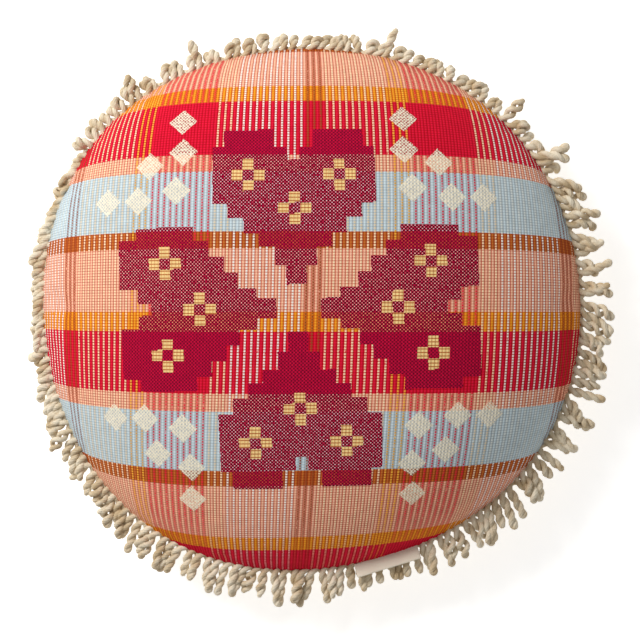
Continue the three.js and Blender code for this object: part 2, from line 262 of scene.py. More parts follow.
def belly_profile(patch):
    """Radius and height from the middle of the floor patch out to the seam."""
    turn = np.linspace(0, math.pi / 2, 500)
    rise = (1 - np.cos(turn)) ** (1 / (2 * BELLY_ROUNDING))
    radius = np.concatenate([[0.0], patch + (SEAM_RADIUS - patch) * np.sin(turn)])
    return radius, np.concatenate([[0.0], SEAM_HEIGHT * rise])


def draw_over(flat, profile):
    """Places on the filled form for points of a flat disc, keeping lengths along each radius."""
    radius, height = profile
    along = np.concatenate([[0], np.cumsum(np.hypot(np.diff(radius), np.diff(height)))])
    along *= CUT_RADIUS / along[-1]
    reach = np.hypot(flat[:, 0], flat[:, 1])
    angle = np.arctan2(flat[:, 1], flat[:, 0])
    out = np.interp(reach, along, radius)
    up = np.interp(reach, along, height)
    out *= 1 + swell(angle) / SEAM_RADIUS * (out / SEAM_RADIUS) ** 2
    return np.stack([out * np.cos(angle), out * np.sin(angle), up], 1)


# ---- Flat cloth -----------------------------------------------------------------------------


def bow(x, y):
    """How far the warp stands to the right of straight, from the middle of the pattern."""
    return WARP_BOW * x * x - WEFT_BOW * y * y


def cut_disc():
    """A flat disc of cloth on a grid two ribs wide and four picks deep, in millimetres.

    Its UV map holds the cloth's own coordinates, in metres from the middle of the pattern.
    """
    cell_x, cell_y = 2 * RIB_PITCH, 4 * PICK_PITCH
    columns = 2 * math.ceil(CUT_RADIUS * 1.08 / cell_x)
    rows = 2 * math.ceil(CUT_RADIUS * 1.02 / cell_y)
    bm = bmesh.new()
    bmesh.ops.create_grid(bm, x_segments=columns, y_segments=rows, size=0.5)
    cloth = bm.loops.layers.uv.new("Cloth")
    for vertex in bm.verts:
        x = vertex.co.x * columns * cell_x
        y = vertex.co.y * rows * cell_y
        for loop in vertex.link_loops:
            loop[cloth].uv = ((x - PATTERN_MIDDLE[0]) * MM, (y - PATTERN_MIDDLE[1]) * MM)
        vertex.co = (x + WARP_LEAN * y + bow(x, y), y, 0)
    outside = [f for f in bm.faces if f.calc_center_median().length > CUT_RADIUS * 0.985]
    bmesh.ops.delete(bm, geom=outside, context="FACES")
    for vertex in bm.verts:
        if vertex.is_boundary:
            moved = vertex.co * (CUT_RADIUS / vertex.co.length - 1)
            vertex.co += moved
            for loop in vertex.link_loops:
                loop[cloth].uv += moved.xy * MM
    return mesh_of(bm, "disc")


# ---- Settling the cloth ---------------------------------------------------------------------

SETTLE_FRAMES = 20
SETTLE_CAP = 12.0
PINNED_PATCH_SHARE = 0.95


def both_faces(disc, front, back):
    """One mesh of the two discs, with the back one turned over."""
    bm = bmesh.new()
    bm.from_mesh(disc)
    front_faces = list(bm.faces)
    bmesh.ops.duplicate(bm, geom=list(bm.verts) + list(bm.edges) + front_faces)
    bm.faces.ensure_lookup_table()
    bmesh.ops.reverse_faces(bm, faces=list(bm.faces)[len(front_faces) :])
    mesh = mesh_of(bm, "bag")
    place_vertices(mesh, np.concatenate([front, back]) * MM)
    return mesh


def settle(disc, front, back, patch):
    """Lets the cut discs buckle over the filling, held at the seam and on the floor."""
    bag = bpy.data.objects.new("bag", both_faces(disc, front, back))
    bpy.context.scene.collection.objects.link(bag)
    flat = coordinates(disc)
    count = len(flat)
    reach = np.hypot(flat[:, 0], flat[:, 1])
    rim = reach > CUT_RADIUS - 0.5
    on_floor = reach < patch * PINNED_PATCH_SHARE
    held = np.concatenate([rim, rim | on_floor])
    pins = bag.vertex_groups.new(name="pins")
    pins.add([int(i) for i in np.flatnonzero(held)], 1.0, "REPLACE")
    bag.shape_key_add(name="filled")
    cut = bag.shape_key_add(name="cut")
    cut.data.foreach_set("co", (np.concatenate([flat, flat]) * MM).ravel())
    cloth = bag.modifiers.new("Cloth", "CLOTH").settings
    cloth.rest_shape_key = cut
    cloth.quality = 6
    cloth.mass = 0.2
    cloth.tension_stiffness = 30
    cloth.compression_stiffness = 30
    cloth.shear_stiffness = 8
    cloth.bending_stiffness = 0.3
    cloth.air_damping = 3
    cloth.use_pressure = True
    cloth.uniform_pressure_force = 4
    cloth.vertex_group_mass = "pins"
    cloth.effector_weights.gravity = 0
    scene = bpy.context.scene
    for moment in range(1, SETTLE_FRAMES + 1):
        scene.frame_set(moment)
    graph = bpy.context.evaluated_depsgraph_get()
    places = coordinates(bag.evaluated_get(graph).data) / MM
    scene.frame_set(1)
    bpy.data.objects.remove(bag)
    start = np.concatenate([front, back])
    moved = places - start
    length = np.linalg.norm(moved, axis=1, keepdims=True)
    moved *= np.minimum(1, SETTLE_CAP / np.maximum(length, 1e-9))
    places = start + moved
    places[:, 2] = np.maximum(places[:, 2], 0.5)
    return places[:count], places[count:]


def part_the_edges(disc, front, back):
    """Moves the two cloths' edges apart, to let the fringe heading in between them."""
    flat = coordinates(disc)
    share = np.hypot(flat[:, 0], flat[:, 1]) / CUT_RADIUS
    front[:, 2] += SEAM_PART * share**SEAM_PART_SHARPNESS
    back[:, 2] -= SEAM_PART * share**SEAM_PART_SHARPNESS


def laid_on(disc, places, steps):
    """The cut disc laid on the given places and subdivided."""
    coarse = disc.copy()
    place_vertices(coarse, places * MM)
    finer = {"levels": steps, "render_levels": steps, "uv_smooth": "NONE"}
    return shaped_by(coarse, ("SUBSURF", finer))


# ---- The front panel ------------------------------------------------------------------------

RIB_HEIGHT = 0.5
PICK_HEIGHT = 0.26
DOT_HEIGHT = 0.24
MOTIF_HEIGHT = 0.25
COTTON_THICKNESS = 1.4
LINING_STEPS = 1


def cloth_coordinates(mesh):
    """Each vertex's own cloth coordinates, in millimetres from the pattern's middle."""
    vertex_of = np.empty(len(mesh.loops), int)
    mesh.loops.foreach_get("vertex_index", vertex_of)
    flat = np.empty(len(mesh.loops) * 2, np.float32)
    mesh.uv_layers["Cloth"].uv.foreach_get("vector", flat)
    places = np.zeros((len(mesh.vertices), 2))
    places[vertex_of] = flat.reshape(-1, 2) / MM
    return places


def in_heart(along, across):
    """Whether points lie in the stepped heart of one arm."""
    across = np.abs(across)
    found = np.zeros(len(along), bool)
    for near, far, half in HEART_STEPS:
        found |= (along > near) & (along <= far) & (across < half)
    near, far, inner, outer = HEART_LOBES
    found |= (along > near) & (along < far) & (across > inner) & (across < outer)
    return found & ~((along > HEART_NOTCH[0]) & (across < HEART_NOTCH[1]))


def in_petals(along, across):
    found = np.zeros(len(along), bool)
    for flower_along, flower_across in FLOWERS:
        for step_along, step_across in ((1, 0), (-1, 0), (0, 1), (0, -1)):
            off_along = np.abs(along - flower_along - step_along * PETAL_OFFSET)
            off_across = np.abs(across - flower_across - step_across * PETAL_OFFSET)
            found |= (off_along < PETAL_HALF) & (off_across < PETAL_HALF)
    return found


def paint_motifs(mesh, places):
    """Writes where each raised colour lies: hearts, petals and diamonds."""
    x = places[:, 0] + MOTIF_LEAN * places[:, 1] + bow(places[:, 0], places[:, 1])
    y = places[:, 1] - MOTIF_RISE * places[:, 0]
    arms = ((y, x), (-y, x), (x, y), (LEFT_ARM_NEARER - x, y))
    petals = np.any([in_petals(along, across) for along, across in arms], axis=0)
    hearts = np.any([in_heart(along, across) for along, across in arms], axis=0) & ~petals
    diamonds = np.zeros(len(x), bool)
    for middle_x, middle_y in DIAMONDS:
        off = np.abs(np.abs(x) - middle_x) + np.abs(np.abs(y) - middle_y)
        diamonds |= off < DIAMOND_HALF
    for name, where in (("heart", hearts), ("petal", petals), ("diamond", diamonds)):
        layer = mesh.attributes.new(name, "FLOAT", "POINT")
        layer.data.foreach_set("value", where.astype(np.float32))
    return hearts | petals | diamonds


def raise_weave(mesh, places, raised):
    """Lifts the ribs, the beads of each pick and the extra weft off the cloth."""
    across = (places[:, 0] - FIRST_COLUMN) / RIB_PITCH
    down = places[:, 1] / PICK_PITCH
    rib = np.abs(np.cos(math.pi * across)) ** 1.2
    dotted = np.round(across) % 2 == 0
    beads = rib * np.cos(2 * math.pi * down) * np.where(dotted, DOT_HEIGHT, PICK_HEIGHT)
    stagger = rib * np.cos(2 * math.pi * (down + 0.5 * dotted)) * DOT_HEIGHT
    lift = RIB_HEIGHT * rib + np.where(raised, MOTIF_HEIGHT + stagger, beads)
    shape = coordinates(mesh) + vertex_normals(mesh) * (lift * MM)[:, None]
    place_vertices(mesh, shape)


def lined(cloth, lining, thickness):
    """The cloth closed by a coarser lining inside it, joined to it all round the edge."""
    place_vertices(lining, coordinates(lining) - vertex_normals(lining) * thickness * MM)
    bm = bmesh.new()
    bm.from_mesh(cloth)
    outer_count = len(bm.faces)
    bm.from_mesh(lining)
    bm.faces.ensure_lookup_table()
    bmesh.ops.reverse_faces(bm, faces=bm.faces[outer_count:])
    bmesh.ops.bridge_loops(bm, edges=[edge for edge in bm.edges if edge.is_boundary])
    return mesh_of(bm, "lined_cloth")


def front_panel(disc, places):
    cloth = laid_on(disc, places, FINE_STEPS)
    spots = cloth_coordinates(cloth)
    raised = paint_motifs(cloth, spots)
    raise_weave(cloth, spots, raised)
    mesh = lined(cloth, laid_on(disc, places, LINING_STEPS), COTTON_THICKNESS)
    smooth(mesh)
    mesh.materials.append(hand_loom_cotton())
    made = piece("front_cloth", mesh, "root", "woven_cotton", "front_panel")


# ---- Materials ------------------------------------------------------------------------------

YARNS = {
    "orange": "#f8a42a",
    "red": "#e6183c",
    "peach": "#fbc4a4",
    "ice_blue": "#cfe0e6",
    "caramel": "#c8702f",
    "gold": "#f6b23e",
    "straw": "#fbdcb4",
    "natural_white": "#f4f0e6",
    "umber": "#9c4c26",
    "burgundy": "#b20638",
    "petal": "#f8d591",
    # petal_shade is painted shade, for the petals' grooves.
    "petal_shade": "#b5622c",
    "diamond": "#f3ead2",
    # shade and crimson_shade are painted shade, for the gaps in the hearts over pale and over red wefts.
    "shade": "#0c0004",
    "crimson_shade": "#62021e",
}
# Tints that darken a yarn where it lies in shade, beside a warm weft or a cool or pale one.
WARM_VALLEY_SHADE, COOL_VALLEY_SHADE = "#d7978e", "#dad4d4"
WARM_PICK_SHADE, COOL_PICK_SHADE = "#d4a69e", "#d4d7da"
RED_PIT_SHADE, PALE_PIT_SHADE = "#bc958b", "#edddd4"
THREAD_SHADE = "#ddd4c8"
# Painted highlight: the hearts' specks over pale wefts are lightened towards this.
SPECK_HIGHLIGHT = "#fff7ef"

# Sizes on the woven cotton, in millimetres. The extra weft shows as a staggered lattice of specks.
SPECK_PITCH_X = 3.5
SPECK_PITCH_Y = 3.4
SLUB_LENGTH = 9.091
FLECK_LENGTH = 2.381
PLY_SPACING = 1.2696
# How much of a warp dot still shows at the lower seam, and how far down the cloth it starts to fade.
DOTS_AT_SEAM = 0.3
DOTS_FADE_FROM = -210.0
DOTS_FADED_AT = -270.0

# Sizes in the plain materials, in millimetres.
SEED_SPACING = 3.846
CLOTH_PATCH = 71.43
FIBRE_TUFT = 16.667
COIL_TONE = 3.333
BRASS_WEAR = 2.381
CORD_FIBRE = 1.111
CORD_PATCH = 16.667

# Settings that several nodes share.
SOFT_EDGE = {"interpolation_type": "SMOOTHSTEP"}
COLOURS = {"data_type": "RGBA"}
DARKENED = {"data_type": "RGBA", "blend_type": "MULTIPLY"}


def add(tree, kind, inputs=None, output=0, **settings):
    """Adds a node and gives one of its outputs.

    Each input is a value or a socket to link from. It goes by name, or by number on a node that
    has several of one name: Map Range has its value, both froms and both tos at 0 to 4, and Mix
    has its factor at 0, its colours at 6 and 7 and its mixed colour at output 2.
    """
    made = tree.nodes.new("ShaderNode" + kind)
    for name, value in settings.items():
        setattr(made, name, value)
    for name, value in (inputs or {}).items():
        if isinstance(value, bpy.types.NodeSocket):
            tree.links.new(value, made.inputs[name])
        else:
            made.inputs[name].default_value = value
    return made.outputs[output]


def per_metre(size):
    """The scale of a pattern whose features are a size in millimetres apart."""
    return 1 / (size * MM)


def new_material(name, roughness, metallic=0.0, sheen=0.0, specular=0.5):
    """A material, its tree and its surface shader."""
    made = bpy.data.materials.new(name)
    made.use_nodes = True
    shader = made.node_tree.nodes["Principled BSDF"]
    shader.inputs["Roughness"].default_value = roughness
    shader.inputs["Metallic"].default_value = metallic
    shader.inputs["Sheen Weight"].default_value = sheen
    shader.inputs["Specular IOR Level"].default_value = specular
    return made, made.node_tree, shader


def finish_surface(tree, shader, surface, height, strength, depth):
    """Gives a surface its colour, and raises it by a height pattern to a depth in millimetres."""
    relief = add(tree, "Bump", {"Strength": strength, "Distance": depth * MM, "Height": height})
    tree.links.new(surface, shader.inputs["Base Color"])
    tree.links.new(relief, shader.inputs["Normal"])


def uneven_dye(tree, surface, vary, low, high):
    """A colour whose value varies between two factors."""
    value = add(tree, "MapRange", {0: vary, 3: low, 4: high})
    return add(tree, "HueSaturation", {"Value": value, "Color": surface})


def stripes(tree, position, bands):
    """Repeating stripes of named yarns along a position that runs from 0 to 1."""
    striped = add(tree, "ValToRGB", {"Fac": position})
    ramp = striped.node.color_ramp
    ramp.interpolation = "CONSTANT"
    total = sum(size for _, size in bands)
    edge = 0.0
    for index, (name, size) in enumerate(bands):
        stop = ramp.elements[index] if index < 2 else ramp.elements.new(edge / total)
        stop.position = edge / total
        stop.color = colour(YARNS[name])
        edge += size
    return striped


def banded_weft(tree, y):
    """The weft's colour at each height."""
    repeat = sum(depth for _, depth in WEFT_BANDS)
    below = add(tree, "Math", {0: FIRST_BAND_TOP, 1: y}, operation="SUBTRACT")
    repeats = add(tree, "Math", {0: below, 1: repeat}, operation="DIVIDE")
    return stripes(tree, add(tree, "Math", {0: repeats}, operation="FRACT"), WEFT_BANDS)


def striped_warp(tree, columns):
    """The colour of the warp dots in each column."""
    repeat = sum(count for _, count in WARP_COLUMNS)
    column = add(tree, "Math", {0: columns}, operation="ROUND")
    counted = add(tree, "Math", {0: column, 1: MIDDLE_COLUMN + 0.5}, operation="ADD")
    repeats = add(tree, "Math", {0: counted, 1: repeat}, operation="DIVIDE")
    return stripes(tree, add(tree, "Math", {0: repeats}, operation="FRACT"), WARP_COLUMNS)


def ribbed_ground(tree, x, y, weft, cool, fleck):
    """The weft over its ribs, with a warp dot in every other rib, once in each pick."""
    from_first = add(tree, "Math", {0: x, 1: FIRST_COLUMN}, operation="SUBTRACT")
    columns = add(tree, "Math", {0: from_first, 1: COLUMN_PITCH}, operation="DIVIDE")
    ribs = add(tree, "Math", {0: from_first, 1: RIB_PITCH}, operation="DIVIDE")
    picks = add(tree, "Math", {0: y, 1: PICK_PITCH}, operation="DIVIDE")
    between_picks = add(tree, "Math", {0: picks, 1: 0.5}, operation="ADD")
    # How far each place is from the middle of its column and rib, and from the edge of its pick.
    off_column = add(tree, "Math", {0: columns, 1: 0.5}, operation="PINGPONG")
    off_rib = add(tree, "Math", {0: ribs, 1: 0.5}, operation="PINGPONG")
    off_edge = add(tree, "Math", {0: between_picks, 1: 0.5}, operation="PINGPONG")

    # Between the ribs, and under each warp dot, the yarns lie deep; painted shade there makes them darker
    # and warmer.
    in_column = add(tree, "MapRange", {0: off_column, 1: 0.18, 2: 0.11}, **SOFT_EDGE)
    under_dot = add(tree, "MapRange", {0: off_edge, 1: 0.16, 2: 0.02, 4: 0.9}, **SOFT_EDGE)
    under = add(tree, "Math", {0: in_column, 1: under_dot}, operation="MULTIPLY")
    valley = add(tree, "MapRange", {0: off_rib, 1: 0.18, 2: 0.46}, **SOFT_EDGE)
    valley_shade = add(tree, "Math", {0: valley, 1: under}, operation="MAXIMUM")
    depth = add(tree, "Mix", {0: cool, 6: colour(WARM_VALLEY_SHADE), 7: colour(COOL_VALLEY_SHADE)}, 2, **COLOURS)
    ground = add(tree, "Mix", {0: valley_shade, 6: weft, 7: depth}, 2, **DARKENED)
    # Painted shade along the edge of each pick, where it meets the next.
    edge = add(tree, "MapRange", {0: off_edge, 1: 0.24, 2: 0.02, 4: 0.85}, **SOFT_EDGE)
    gap_shade = add(tree, "Mix", {0: cool, 6: colour(WARM_PICK_SHADE), 7: colour(COOL_PICK_SHADE)}, 2, **COLOURS)
    ground = add(tree, "Mix", {0: edge, 6: ground, 7: gap_shade}, 2, **DARKENED)

    # Towards the lower seam the warp dots fade into the ground.
    within_pick = add(tree, "MapRange", {0: off_edge, 1: 0.1, 2: 0.22}, **SOFT_EDGE)
    shown = add(tree, "MapRange", {0: fleck, 1: 0.22, 2: 0.42}, **SOFT_EDGE)
    level = add(tree, "MapRange", {0: y, 1: DOTS_FADED_AT, 2: DOTS_FADE_FROM, 3: DOTS_AT_SEAM})
    dot = in_column
    for share in (within_pick, shown, level):
        dot = add(tree, "Math", {0: dot, 1: share}, operation="MULTIPLY")
    # A dot that sinks into the cool weft gets painted shade in the weft's tint.
    dot_shade = add(tree, "Math", {0: cool, 1: 0.6}, operation="MULTIPLY")
    warp = add(tree, "Mix", {0: dot_shade, 6: striped_warp(tree, columns), 7: weft}, 2, **DARKENED)
    return add(tree, "Mix", {0: dot, 6: ground, 7: warp}, 2, **COLOURS)


def extra_weft(tree, x, y, weft, pale, fleck):
    """The raised yarns over the ground: those of the hearts, the petals and the diamonds."""
    turn_x = add(tree, "Math", {0: x, 1: 2 * math.pi / SPECK_PITCH_X}, operation="MULTIPLY")
    turn_y = add(tree, "Math", {0: y, 1: 2 * math.pi / SPECK_PITCH_Y}, operation="MULTIPLY")
    wave_x = add(tree, "Math", {0: turn_x}, operation="COSINE")
    wave_y = add(tree, "Math", {0: turn_y}, operation="COSINE")
    lattice = add(tree, "Math", {0: wave_x, 1: wave_y}, operation="MULTIPLY")

    # Hearts: the ground peeps through in specks, lightened by a painted highlight, and the gaps between them
    # are painted in shade.
    gap_shade = add(tree, "MapRange", {0: lattice, 1: -0.12, 2: -0.5}, **SOFT_EDGE)
    dark = {0: pale, 6: colour(YARNS["crimson_shade"]), 7: colour(YARNS["shade"])}
    shade = add(tree, "Mix", dark, 2, **COLOURS)
    heart = add(tree, "Mix", {0: gap_shade, 6: colour(YARNS["burgundy"]), 7: shade}, 2, **COLOURS)
    highlight_share = add(tree, "Math", {0: pale, 1: 0.5}, operation="MULTIPLY")
    bright = add(tree, "Mix", {0: highlight_share, 6: weft, 7: colour(SPECK_HIGHLIGHT)}, 2, **COLOURS)
    peak = add(tree, "MapRange", {0: lattice, 1: 0.42, 2: 0.8}, **SOFT_EDGE)
    uneven = add(tree, "MapRange", {0: fleck, 1: 0.3, 2: 0.62}, **SOFT_EDGE)
    speck = add(tree, "Math", {0: peak, 1: uneven}, operation="MULTIPLY")
    heart = add(tree, "Mix", {0: speck, 6: heart, 7: bright}, 2, **COLOURS)

    # Petals: thick yarns side by side, with painted shade in the grooves along them and in shallower ones
    # across.
    across = add(tree, "Math", {0: wave_x, 1: 0.65}, operation="MULTIPLY")
    low = add(tree, "Math", {0: across, 1: wave_y}, operation="MINIMUM")
    groove_shade = add(tree, "MapRange", {0: low, 1: -0.3, 2: -0.9}, **SOFT_EDGE)
    grooved = {0: groove_shade, 6: colour(YARNS["petal"]), 7: colour(YARNS["petal_shade"])}
    petal = add(tree, "Mix", grooved, 2, **COLOURS)

    # Diamonds: an open lattice, with the weft in its pits darkened by painted shade.
    pit_shade = add(tree, "Mix", {0: pale, 6: colour(RED_PIT_SHADE), 7: colour(PALE_PIT_SHADE)}, 2, **COLOURS)
    shaded_weft = add(tree, "Mix", {0: 1.0, 6: weft, 7: pit_shade}, 2, **DARKENED)
    low = add(tree, "MapRange", {0: lattice, 1: 0.3, 2: -0.3}, **SOFT_EDGE)
    open_weave = add(tree, "MapRange", {0: fleck, 1: 0.72, 2: 0.4}, **SOFT_EDGE)
    pit = add(tree, "Math", {0: low, 1: open_weave}, operation="MULTIPLY")
    diamond = add(tree, "Mix", {0: pit, 6: colour(YARNS["diamond"]), 7: shaded_weft}, 2, **COLOURS)
    return {"heart": heart, "petal": petal, "diamond": diamond}


def hand_loom_cotton():
    """Ribbed hand-loomed cotton: soft matt yarns, dyed before weaving, with painted shade in the gaps
    between.
    """
    made, tree, shader = new_material("hand_loom_cotton", roughness=0.95, specular=0.12)
    uv = add(tree, "UVMap", uv_map="Cloth")
    slub = add(tree, "TexNoise", {"Vector": uv, "Scale": per_metre(SLUB_LENGTH), "Detail": 3.0})
    fleck = add(tree, "TexNoise", {"Vector": uv, "Scale": per_metre(FLECK_LENGTH), "Detail": 1.0})
    across = add(tree, "SeparateXYZ", {"Vector": uv}, "X")
    up = add(tree, "SeparateXYZ", {"Vector": uv}, "Y")
    x = add(tree, "Math", {0: across, 1: 1 / MM}, operation="MULTIPLY")
    y = add(tree, "Math", {0: up, 1: 1 / MM}, operation="MULTIPLY")

    weft = banded_weft(tree, y)
    red = add(tree, "SeparateColor", {"Color": weft}, "Red")
    green = add(tree, "SeparateColor", {"Color": weft}, "Green")
    warmth = add(tree, "Math", {0: red, 1: green}, operation="SUBTRACT")
    cool = add(tree, "MapRange", {0: warmth, 1: 0.15, 2: 0.0}, **SOFT_EDGE)
    pale = add(tree, "MapRange", {0: green, 1: 0.15, 2: 0.6}, **SOFT_EDGE)

    surface = ribbed_ground(tree, x, y, weft, cool, fleck)
    for name, yarn in extra_weft(tree, x, y, weft, pale, fleck).items():
        where = add(tree, "Attribute", output="Fac", attribute_name=name)
        inside = add(tree, "MapRange", {0: where, 1: 0.4, 2: 0.6}, **SOFT_EDGE)
        surface = add(tree, "Mix", {0: inside, 6: surface, 7: yarn}, 2, **COLOURS)
    surface = uneven_dye(tree, surface, slub, 0.84, 1.14)

    # Fine diagonal plying of the yarns. The wave's phase grows by ten radians a unit on each axis.
    scale = 2 * math.pi * per_metre(PLY_SPACING) / (10 * math.sqrt(2))
    wave = {"Vector": uv, "Scale": scale, "Distortion": 1.5, "Detail": 2.0}
    plies = add(tree, "TexWave", wave, "Fac", bands_direction="DIAGONAL")
    finish_surface(tree, shader, surface, plies, 0.5, 0.25)
    return made


def plain_weave(name, code, pitch, roughness=0.92, flecks=0.3):
    """A plain-woven natural cloth in Object coordinates, its pattern repeating at a pitch."""
    made, tree, shader = new_material(name, roughness=roughness, specular=0.15)
    place = add(tree, "TexCoord", output="Object")
    waves = []
    for axis in ("X", "Y"):
        along = add(tree, "SeparateXYZ", {"Vector": place}, axis)
        turn = add(tree, "Math", {0: along, 1: 2 * math.pi * per_metre(pitch)}, operation="MULTIPLY")
        waves.append(add(tree, "Math", {0: turn}, operation="SINE"))
    weave = add(tree, "Math", {0: waves[0], 1: waves[1]}, operation="MULTIPLY")
    fleck = add(tree, "TexNoise", {"Vector": place, "Scale": per_metre(SEED_SPACING), "Detail": 4.0})
    patch = add(tree, "TexNoise", {"Vector": place, "Scale": per_metre(CLOTH_PATCH), "Detail": 2.0})
    seed = add(tree, "MapRange", {0: fleck, 1: 0.66, 2: 0.74, 4: flecks}, **SOFT_EDGE)
    thread = add(tree, "Mix", {0: seed, 6: colour(code), 7: colour("#7a6244")}, 2, **COLOURS)
    # Painted shade in the hollows between the crossing yarns.
    crossing = add(tree, "MapRange", {0: weave, 1: 0.1, 2: -0.9}, **SOFT_EDGE)
    shaded = add(tree, "Mix", {0: crossing, 6: thread, 7: colour(THREAD_SHADE)}, 2, **DARKENED)
    finish_surface(tree, shader, uneven_dye(tree, shaded, patch, 0.9, 1.08), weave, 0.6, pitch / 4)
    return made


def cotton_canvas():
    """Natural cotton duck: a close plain weave of thick yarns, 1.1 mm apart and matt."""
    return plain_weave("natural_cotton_canvas", "#dccdb0", 2.2)


def unbleached_calico():
    """Calico: thin unbleached plain weave with seed flecks; yarns 0.5 mm apart."""
    return plain_weave("unbleached_calico", "#ece3cf", 1.0, flecks=0.5)


def label_tape():
    """Cotton label tape: a fine weave of smooth yarns 0.45 mm apart, slightly silky."""
    return plain_weave("cotton_label_tape", "#fff7e4", 0.9, roughness=0.75, flecks=0.1)


def zip_tape():
    """Polyester zip tape: a dense weave with a slight sheen; yarns 0.4 mm apart."""
    return plain_weave("polyester_zip_tape", "#d6c8ac", 0.8, roughness=0.6, flecks=0.0)


def hollow_fibre():
    """Siliconised hollow fibre: white, lofty and soft, in tufts that scatter the light."""
    made, tree, shader = new_material("hollow_fibre_fill", roughness=1.0, sheen=0.3)
    place = add(tree, "TexCoord", output="Object")
    tuft = add(tree, "TexNoise", {"Vector": place, "Scale": per_metre(FIBRE_TUFT), "Detail": 8.0})
    surface = uneven_dye(tree, colour("#f4f1ea"), tuft, 0.8, 1.1)
    finish_surface(tree, shader, surface, tuft, 0.8, 3.0)
    return made


def nylon_coil():
    """Dyed nylon monofilament: smooth and slightly waxy, with a faint change of shade."""
    made, tree, shader = new_material("nylon_coil", roughness=0.38)
    place = add(tree, "TexCoord", output="Object")
    tone = add(tree, "TexNoise", {"Vector": place, "Scale": per_metre(COIL_TONE), "Detail": 2.0})
    surface = uneven_dye(tree, colour("#c9b998"), tone, 0.85, 1.1)
    finish_surface(tree, shader, surface, tone, 0.2, 0.05)
    return made


def antique_brass():
    """Antiqued brass-plated zinc fittings: darkened in the cast skin, rubbed bright in patches."""
    made, tree, shader = new_material("antique_brass", roughness=0.36, metallic=1.0)
    place = add(tree, "TexCoord", output="Object")
    worn = add(tree, "TexNoise", {"Vector": place, "Scale": per_metre(BRASS_WEAR), "Detail": 5.0})
    rubbed = add(tree, "MapRange", {0: worn, 1: 0.4, 2: 0.62}, **SOFT_EDGE)
    metal = add(tree, "Mix", {0: rubbed, 6: colour("#7d6233"), 7: colour("#cfae6a")}, 2, **COLOURS)
    rough = add(tree, "MapRange", {0: worn, 3: 0.5, 4: 0.28})
    tree.links.new(rough, shader.inputs["Roughness"])
    finish_surface(tree, shader, metal, worn, 0.25, 0.06)
    return made


def cotton_cord():
    """Unbleached plied cotton cord: matt, with loose fibres and a warm, uneven tone."""
    made, tree, shader = new_material("unbleached_cotton_cord", roughness=0.95, specular=0.15)
    place = add(tree, "TexCoord", output="Object")
    fibre = add(tree, "TexNoise", {"Vector": place, "Scale": per_metre(CORD_FIBRE), "Detail": 4.0})
    patch = add(tree, "TexNoise", {"Vector": place, "Scale": per_metre(CORD_PATCH), "Detail": 2.0})
    half = add(tree, "Math", {0: fibre, 1: 0.5}, operation="MULTIPLY")
    tone = add(tree, "Math", {0: half, 1: patch}, operation="ADD")
    light = add(tree, "MapRange", {0: tone, 1: 0.5, 2: 0.95}, **SOFT_EDGE)
    yarn = add(tree, "Mix", {0: light, 6: colour("#c8b08b"), 7: colour("#ece0c9")}, 2, **COLOURS)
    finish_surface(tree, shader, yarn, fibre, 0.9, 0.6)
    return made


# ---- The fringe, in millimetres -------------------------------------------------------------

FRINGE_SECTIONS = 25
LOOPS_PER_SECTION = 7
CORD_RADIUS = 3.05
PLY_GROOVE = 0.15
PLIES = 7
SECTION_SIDES = 28
PLY_TURN_LENGTH = 24.0
LOOP_STEPS = 22
FOLD_STEPS = 6
LOOP_TURNS_PER_MM = 0.043
ROOT_SPLAY_SHARE = 0.16
TWIST_CLOSENESS = 0.72
TIP_CLOSENESS = 0.55
ROOT_INSIDE_SEAM = 2.0
# Loops within this angle of the label's middle are shorter and start lower, to pass beneath it.
LABEL_SHELTER = 0.16
SHELTERED_DROP = 0.45
SHELTERED_LENGTH_SHARE = 0.8
FRINGE_SEED = 41
# The top is where the sine of a loop's angle passes this, and there this share of loops stands up.
TOP_STARTS_AT = 0.6
STANDING_SHARE = 0.16
OPEN_WIDTHS = (0, 0, 0, 0.35, 0.9)
HEADING_INSIDE_SEAM = 8.0
HEADING_EDGE_INSIDE_SEAM = 0.6
HEADING_THICKNESS = 1.6
HEADING_STEPS = 300


def ply_section():
    """The lobed outline of a plied cord, to be swept along each loop."""
    curve = bpy.data.curves.new("ply_section", "CURVE")
    curve.dimensions = "2D"
    spline = curve.splines.new("POLY")
    spline.points.add(SECTION_SIDES - 1)
    for index, point in enumerate(spline.points):
        angle = 2 * math.pi * index / SECTION_SIDES
        radius = CORD_RADIUS * (1 - PLY_GROOVE + PLY_GROOVE * abs(math.cos(PLIES * angle / 2)) ** 0.7)
        point.co = (radius * math.cos(angle) * MM, radius * math.sin(angle) * MM, 0, 1)
    spline.use_cyclic_u = True
    made = bpy.data.objects.new("ply_section", curve)
    bpy.context.scene.collection.objects.link(made)
    return made


